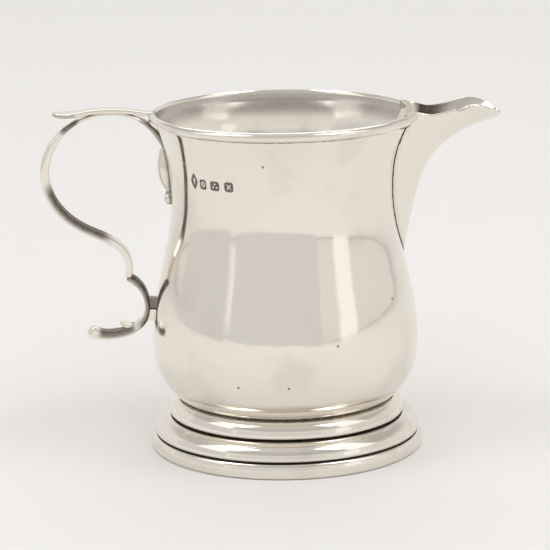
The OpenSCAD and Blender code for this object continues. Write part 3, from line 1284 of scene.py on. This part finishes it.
@dataclass
class Handle:
    """The scroll handle and the pieces that join it to the body."""

    shape: BodyShape
    main: Strap = field(default_factory=lambda: Strap(
        "main_scroll_cast", "main_scroll",
        knots=(
            (34.39, 33.91), (31.79, 38.41), (28.39, 42.01), (23.99, 44.01), (19.09, 44.51), (13.79, 43.71),
            (8.39, 41.01), (3.99, 36.41), (1.65, 29.81), (2.39, 23.01), (5.79, 17.61), (10.59, 13.81),
            (15.79, 11.31), (19.99, 9.01), (22.69, 6.01), (23.59, 2.81), (23.2, -0.25),
        ),
        widths=(
            4.08, 4.08, 4.22, 4.32, 4.42, 4.56, 4.8, 4.8, 4.8, 4.8, 4.8, 4.8,
            4.8, 4.8, 4.61, 4.51, 4.42,
        ),
        depths=(
            1.4, 1.3, 1.09, 0.96, 0.96, 0.99, 1.3, 2.29, 2.6, 2.47, 2.42, 2.29,
            2.24, 2.29, 2.05, 2, 1.9,
        ),
        round_share=0.6, end_rounding=(0.3, 0.15), steps=220,
        # The first entry is painted shade where the strap's top end meets the wall.
        stains_and_shade=((0, 0.12, 0, 0.6), (0.345, 0.385, 1, 0.9), (0.61, 0.82, -1, 0.97)),
    ))
    leaf: Strap = field(default_factory=lambda: Strap(
        "thumb_rest_cast", "thumb_rest",
        knots=(
            (28.95, 0.6), (25.35, 0.7), (20.75, 1.3), (15.75, 1.6), (10.35, 1.3), (5.35, 0.62),
            (1.55, 0.62), (0.15, 0.9),
        ),
        widths=(3.6, 4.1, 4.4, 4.7, 5.3, 6.2, 5.2, 1.2),
        depths=(1.1, 1.15, 1.3, 1.4, 1.4, 1.35, 1.2, 0.8),
        # Both entries are painted shade: in the gap under the leaf's tip, and at its start by the rim.
        end_rounding=(0.3, 0.25), stains_and_shade=((0.8, 0.97, -1, 0.5), (0, 0.05, 0, 0.5)),
    ))
    lower: Strap = field(default_factory=lambda: Strap(
        "lower_scroll_cast", "lower_scroll",
        knots=(
            (11.4, 17.7), (13.4, 16.5), (15.3, 14.4), (16.4, 11.8), (16.8, 8.9), (16.2, 6.2),
            (14.6, 4.1), (12, 2.4), (8.8, 1.4), (5.2, 1.1), (1.7, 1.7), (0.1, 2.5),
        ),
        widths=(
            4.42, 4.42, 4.42, 4.32, 4.32, 4.32, 4.22, 4.13, 3.94, 3.74, 3.36, 3.2,
        ),
        depths=(
            1.95, 2.03, 1.82, 1.66, 1.66, 1.87, 2.21, 2.47, 2.55, 2.6, 2.86, 2.8,
        ),
        round_face=-1.0, round_share=0.4, end_rounding=(0.15, 0.02), tail_ball=1.7,
        stains_and_shade=((0.02, 0.47, 1, 0.97), (0.6, 0.86, -1, 0.9)),
    ))
    spur: Strap = field(default_factory=lambda: Strap(
        "scroll_spur_cast", "scroll_spur",
        knots=(
            (5.6, 0.76), (3.8, 0.36), (1.9, 0.56), (0.3, 1.66),
        ),
        widths=(2.4, 3.6, 3.6, 2.4), depths=(1.2, 1.3, 1.3, 1.1),
        steps=40, end_rounding=(0.2, 0.55), stains_and_shade=((0, 0.35, 0, 0.6),),
    ))

    def build(self) -> list[tuple[bpy.types.Object, str]]:
        """Makes every piece of the handle.

        Returns:
            The pieces, each with the node that it stands for.
        """
        made = [(strap.build(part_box(strap.node)[0], self.shape), strap.node) for strap in self.straps()]
        made.append((WallDrop().build(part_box("wall_drop"), self.shape), "wall_drop"))
        made.append((WallLug().build(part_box("wall_lug")), "wall_lug"))
        return made

    def straps(self) -> list[Strap]:
        """The handle's four straps."""
        return [self.main, self.leaf, self.lower, self.spur]


# ---------------------------------------------------------------- solder lines


@dataclass
class SolderLine:
    """Uneven dark solder along a joint, made with a Geometry Nodes tree."""

    name: str
    points: Grid
    radius: float
    unevenness: float
    closed: bool = False
    seed: int = 3
    grain: float = 900.0

    @staticmethod
    def _tree() -> bpy.types.NodeTree:
        """The node tree, made once: edges to a curve of uneven radius, swept with a circle.

        Returns:
            The tree.
        """
        known = bpy.data.node_groups.get("solder_line")
        if known:
            return known
        tree = bpy.data.node_groups.new("solder_line", "GeometryNodeTree")
        face = tree.interface
        face.new_socket("Geometry", in_out="INPUT", socket_type="NodeSocketGeometry")
        for label in ("Radius", "Unevenness", "Grain", "Seed"):
            face.new_socket(label, in_out="INPUT", socket_type="NodeSocketFloat")
        face.new_socket("Finish", in_out="INPUT", socket_type="NodeSocketMaterial")
        face.new_socket("Geometry", in_out="OUTPUT", socket_type="NodeSocketGeometry")
        wiring = Wiring(tree)
        entry = wiring.add("NodeGroupInput").outputs
        curve = wiring.add("GeometryNodeMeshToCurve", {"Mesh": entry["Geometry"]}).outputs["Curve"]
        inputs = {"Scale": entry["Grain"], "W": entry["Seed"], "Detail": 3.0}
        noise = wiring.add("ShaderNodeTexNoise", inputs, noise_dimensions="4D").outputs
        inputs = {0: noise["Color"], 1: (0.5, 0.5, 0.5)}
        centred = wiring.add("ShaderNodeVectorMath", inputs, operation="SUBTRACT").outputs["Vector"]
        inputs = {0: centred, "Scale": entry["Unevenness"]}
        shift = wiring.add("ShaderNodeVectorMath", inputs, operation="SCALE").outputs["Vector"]
        inputs = {"Geometry": curve, "Offset": shift}
        moved = wiring.add("GeometryNodeSetPosition", inputs).outputs["Geometry"]
        spread = wiring.ramp(noise["Fac"], (0.25, 0.75), (0.45, 1.35))
        size = wiring.maths("MULTIPLY", spread, entry["Radius"])
        inputs = {"Resolution": 8, "Radius": 1.0}
        circle = wiring.add("GeometryNodeCurvePrimitiveCircle", inputs).outputs["Curve"]
        inputs = {"Curve": moved, "Profile Curve": circle, "Scale": size, "Fill Caps": True}
        swept = wiring.add("GeometryNodeCurveToMesh", inputs).outputs["Mesh"]
        inputs = {"Geometry": swept, "Name": "tarnish_and_shade", "Value": 1.0}
        marked = wiring.add("GeometryNodeStoreNamedAttribute", inputs).outputs["Geometry"]
        smooth = wiring.add("GeometryNodeSetShadeSmooth", {"Geometry": marked}).outputs["Geometry"]
        real = wiring.add("GeometryNodeRealizeInstances", {"Geometry": smooth}).outputs["Geometry"]
        coat = wiring.add("GeometryNodeSetMaterial", {"Geometry": real, "Material": entry["Finish"]})
        wiring.add("NodeGroupOutput", {"Geometry": coat.outputs["Geometry"]})
        return tree

    def build(self, material: bpy.types.Material) -> bpy.types.Object:
        """Sweeps the solder along its line and bakes it to a mesh.

        Args:
            material: The solder's finish.

        Returns:
            The solder line.
        """
        count = len(self.points)
        edges = [(i, i + 1) for i in range(count - 1)]
        if self.closed:
            edges.append((count - 1, 0))
        line = bpy.data.meshes.new(self.name + "_line")
        line.from_pydata(self.points.tolist(), edges, [])
        guide = bpy.data.objects.new(self.name + "_line", line)
        bpy.context.scene.collection.objects.link(guide)
        tree = self._tree()
        step = guide.modifiers.new("solder", "NODES")
        step.node_group = tree
        values = {
            "Radius": self.radius, "Unevenness": self.unevenness, "Grain": self.grain,
            "Seed": float(self.seed), "Finish": material,
        }
        for socket in tree.interface.items_tree:
            if socket.in_out == "INPUT" and socket.name in values:
                step[socket.identifier] = values[socket.name]
        graph = bpy.context.evaluated_depsgraph_get()
        mesh = bpy.data.meshes.new_from_object(guide.evaluated_get(graph))
        mesh.name = self.name
        bpy.data.objects.remove(guide)
        item = bpy.data.objects.new(self.name, mesh)
        bpy.context.scene.collection.objects.link(item)
        return item


# ---------------------------------------------------------------- the jug


@dataclass
class CreamJug:
    """The whole jug: every group of pieces with its finish."""

    sheet: SilverFinish = field(default_factory=lambda: SilverFinish("sheet_silver"))
    foot: SilverFinish = field(default_factory=lambda: SilverFinish("foot_silver"))
    cast: SilverFinish = field(default_factory=lambda: SilverFinish("cast_silver", roughness=(0.06, 0.16)))

    def build(self) -> None:
        """Builds and dresses the jug."""
        low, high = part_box("vessel")
        shape = BodyShape(belly_r=high[0], floor_z=low[2], lip_z=high[2])
        sheet, foot, cast = self.sheet.material(), self.foot.material(), self.cast.material()
        wire_low, wire_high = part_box("rim_wire")
        spout = Spout(shape, tip=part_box("spout")[1][0])
        dress(Vessel(shape).build(), sheet, Slot.SHEET, "vessel")
        dress(RimWire(shape, wire_high[2] - wire_low[2]).build(), sheet, Slot.SHEET, "rim_wire")
        dress(spout.build(), sheet, Slot.SHEET, "spout")
        foot_boxes = [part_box(node) for node in ("foot_upper_ring", "foot_middle_ring", "foot_base_ring")]
        for ring in Foot(*foot_boxes).rings():
            dress(ring.build(), foot, Slot.FOOT, ring.node)
        for item, node in Handle(shape).build():
            dress(item, cast, Slot.CAST, node)
        for line in self._solder(shape, spout):
            dress(line.build(sheet), sheet, Slot.SHEET)

    @staticmethod
    def _solder(shape: BodyShape, spout: Spout) -> list[SolderLine]:
        """The solder lines that show.

        Args:
            shape: The body.
            spout: The spout.

        Returns:
            The lines.
        """
        turn = np.linspace(0, 2 * math.pi, 900, endpoint=False)
        foot_r = shape.line[0, 0] + 0.05 * MM
        ring_z = np.full(len(turn), shape.floor_z + 0.25 * MM)
        ring = np.stack([foot_r * np.cos(turn), foot_r * np.sin(turn), ring_z], axis=1)
        place = np.linspace(-1, 1, 500)
        level = shape.lip_z - 2.75 * MM
        around = np.radians(np.linspace(34, 326, 900))
        under = shape.surface(around, np.full(900, level))
        corner = shape.surface(np.radians(np.linspace(-26, -18, 40)), np.full(40, level - 0.1 * MM))
        return [
            SolderLine("foot_solder", ring, 0.13 * MM, 0.4 * MM, closed=True),
            SolderLine("spout_solder", spout.seam(place), 0.19 * MM, 0.3 * MM, seed=8),
            SolderLine("rim_solder", under, 0.13 * MM, 0.25 * MM, seed=5),
            # A solder fillet, painted fully dark as the shade in the corner under the wire's end.
            SolderLine("rim_corner_solder_and_shade", corner, 0.34 * MM, 0.4 * MM, seed=12),
        ]


# ---------------------------------------------------------------- studio


@dataclass
class Card:
    """A flat card with soft edges that shows only in reflections."""

    name: str
    centre: Point
    size: Pair
    strength: float
    tint: Point = (1.0, 0.98, 0.955)
    soft: float = 0.35
    aim: Point = (0.0, 0.0, 0.05)
    lights: bool = True
    mirrored: bool = True

    def build(self) -> bpy.types.Object:
        """Makes the card, facing the jug.

        Returns:
            The card.
        """
        half_wide, half_high = self.size[0] / 2, self.size[1] / 2
        mesh = bpy.data.meshes.new(self.name)
        signs = ((-1, -1), (1, -1), (1, 1), (-1, 1))
        mesh.from_pydata([(half_wide * x, half_high * y, 0) for x, y in signs], [], [(0, 1, 2, 3)])
        mesh.materials.append(self._material())
        item = bpy.data.objects.new(self.name, mesh)
        bpy.context.scene.collection.objects.link(item)
        item.location = self.centre
        item.rotation_mode = "QUATERNION"
        item.rotation_quaternion = (Vector(self.aim) - Vector(self.centre)).to_track_quat("Z", "Y")
        item.visible_camera = False
        item.visible_diffuse = self.lights
        item.visible_glossy = self.mirrored
        return item

    def _material(self) -> bpy.types.Material:
        """A glow that fades out towards the card's edges.

        Returns:
            The material.
        """
        made = bpy.data.materials.new(self.name)
        made.use_nodes = True
        wiring = Wiring(made.node_tree)
        wiring.nodes.clear()
        place = wiring.add("ShaderNodeTexCoord").outputs["Object"]
        parts = wiring.add("ShaderNodeSeparateXYZ", {"Vector": place}).outputs
        border = self.soft * min(self.size) / 2
        fades = []
        for axis, whole in zip("XY", self.size):
            away = wiring.maths("ABSOLUTE", parts[axis])
            fades.append(wiring.ramp(away, (whole / 2 - border, whole / 2), (1.0, 0.0), "SMOOTHSTEP"))
        clear = wiring.add("ShaderNodeBsdfTransparent").outputs["BSDF"]
        glow = wiring.add("ShaderNodeEmission", {"Color": (*self.tint, 1), "Strength": self.strength})
        inputs = {"Fac": wiring.maths("MULTIPLY", *fades), 1: clear, 2: glow.outputs["Emission"]}
        cover = wiring.add("ShaderNodeMixShader", inputs)
        wiring.add("ShaderNodeOutputMaterial", {"Surface": cover.outputs["Shader"]})
        return made


@dataclass
class Studio:
    """Floor, soft light and camera."""

    floor_size: float = 8.0
    floor_colour: Point = (0.785, 0.783, 0.78)
    room_colour: Point = (1.0, 0.975, 0.94)
    camera_place: Point = (0.0, -0.74076, 0.218826)
    pitch: float = math.radians(13.0599)
    roll: float = math.radians(0.9143)
    yaw: float = math.radians(-0.20049)
    lens: float = 183.27
    # Brightness of the room by the sine of the elevation.
    room: tuple[Pair, ...] = (
        (0.0, 0.80), (0.38, 0.80), (0.52, 0.58), (0.70, 0.56), (0.85, 0.66), (1.0, 0.68),
    )
    cards: tuple[Card, ...] = (
        Card("front_wall", (-0.12, -0.86, 0.05), (1.5, 0.5), 0.74, soft=0.12, lights=False),
        Card("left_wall", (-0.7, -0.12, 0.08), (0.8, 0.5), 0.72, soft=0.3, aim=(0, 0, 0.08), lights=False),
        Card("right_window", (1.1, -0.72, 0.24), (0.5, 0.6), 1.1, soft=0.45),
        Card("left_window", (-1.1, -0.85, 0.26), (0.4, 0.35), 0.95, soft=0.6),
        Card("left_screen", (-1.39, -0.42, 1.35), (1.0, 1.5), 1.25, aim=(0, 0, 1.35), lights=False),
        Card("right_screen", (1.39, -0.42, 1.35), (1.0, 1.5), 1.25, aim=(0, 0, 1.35), lights=False),
        Card("left_softbox", (-1.3, -0.5, 2.0), (1.3, 1.3), 5.2, soft=0.5),
        Card("right_softbox", (1.3, -0.5, 2.0), (1.3, 1.3), 5.2, soft=0.5),
        Card("back_softbox", (0.0, 1.3, 1.6), (2.0, 1.0), 2.0, soft=0.45),
        Card("front_fill", (0.0, -1.5, 1.5), (2.0, 1.0), 2.6, soft=0.3, mirrored=False),
    )

    def build(self) -> None:
        """Sets up everything around the jug."""
        self._floor()
        self._world()
        for card in self.cards:
            card.build()
        self._camera()
        bpy.context.scene.view_settings.view_transform = "Standard"

    def _floor(self) -> None:
        """The pale table top."""
        half = self.floor_size / 2
        signs = ((-1, -1), (1, -1), (1, 1), (-1, 1))
        mesh = bpy.data.meshes.new("floor")
        mesh.from_pydata([(half * x, half * y, 0) for x, y in signs], [], [(0, 1, 2, 3)])
        made = bpy.data.materials.new("pale_paper")
        made.use_nodes = True
        shader = made.node_tree.nodes["Principled BSDF"]
        shader.inputs["Base Color"].default_value = (*self.floor_colour, 1)
        shader.inputs["Roughness"].default_value = 0.9
        mesh.materials.append(made)
        floor = bpy.data.objects.new("floor", mesh)
        bpy.context.scene.collection.objects.link(floor)

    def _world(self) -> None:
        """A pale room near the horizon under a darker ceiling."""
        world = bpy.data.worlds.new("soft_room")
        world.use_nodes = True
        bpy.context.scene.world = world
        wiring = Wiring(world.node_tree)
        place = wiring.add("ShaderNodeTexCoord").outputs["Generated"]
        parts = wiring.add("ShaderNodeSeparateXYZ", {"Vector": place})
        rise = wiring.add("ShaderNodeFloatCurve", {"Value": parts.outputs["Z"]})
        levels = rise.mapping.curves[0].points
        levels[0].location = self.room[0]
        levels[1].location = self.room[-1]
        for height, level in self.room[1:-1]:
            levels.new(height, level)
        rise.mapping.extend = "HORIZONTAL"
        rise.mapping.update()
        wiring.feed(wiring.nodes["Background"], {
            "Strength": rise.outputs["Value"], "Color": (*self.room_colour, 1),
        })

    def _camera(self) -> None:
        """The camera, from its place, its angles and its lens."""
        data = bpy.data.cameras.new("camera")
        data.lens = self.lens
        data.sensor_width = 36.0
        camera = bpy.data.objects.new("camera", data)
        bpy.context.scene.collection.objects.link(camera)
        flat = math.cos(self.pitch)
        ahead = Vector((math.sin(self.yaw) * flat, math.cos(self.yaw) * flat, -math.sin(self.pitch)))
        level = Vector((math.cos(self.yaw), -math.sin(self.yaw), 0))
        upward = level.cross(ahead)
        right = level * math.cos(self.roll) - upward * math.sin(self.roll)
        up = level * math.sin(self.roll) + upward * math.cos(self.roll)
        axes = Matrix((right, up, -ahead)).transposed().to_4x4()
        camera.matrix_world = Matrix.Translation(self.camera_place) @ axes
        data.clip_start = 0.01
        data.clip_end = 50
        bpy.context.scene.camera = camera


def main() -> None:
    """Builds the scene around the frame."""
    logging.basicConfig(level=logging.INFO, format="%(name)s: %(message)s")
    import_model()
    CreamJug().build()
    Studio().build()
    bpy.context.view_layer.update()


if __name__ == "__main__":
    main()
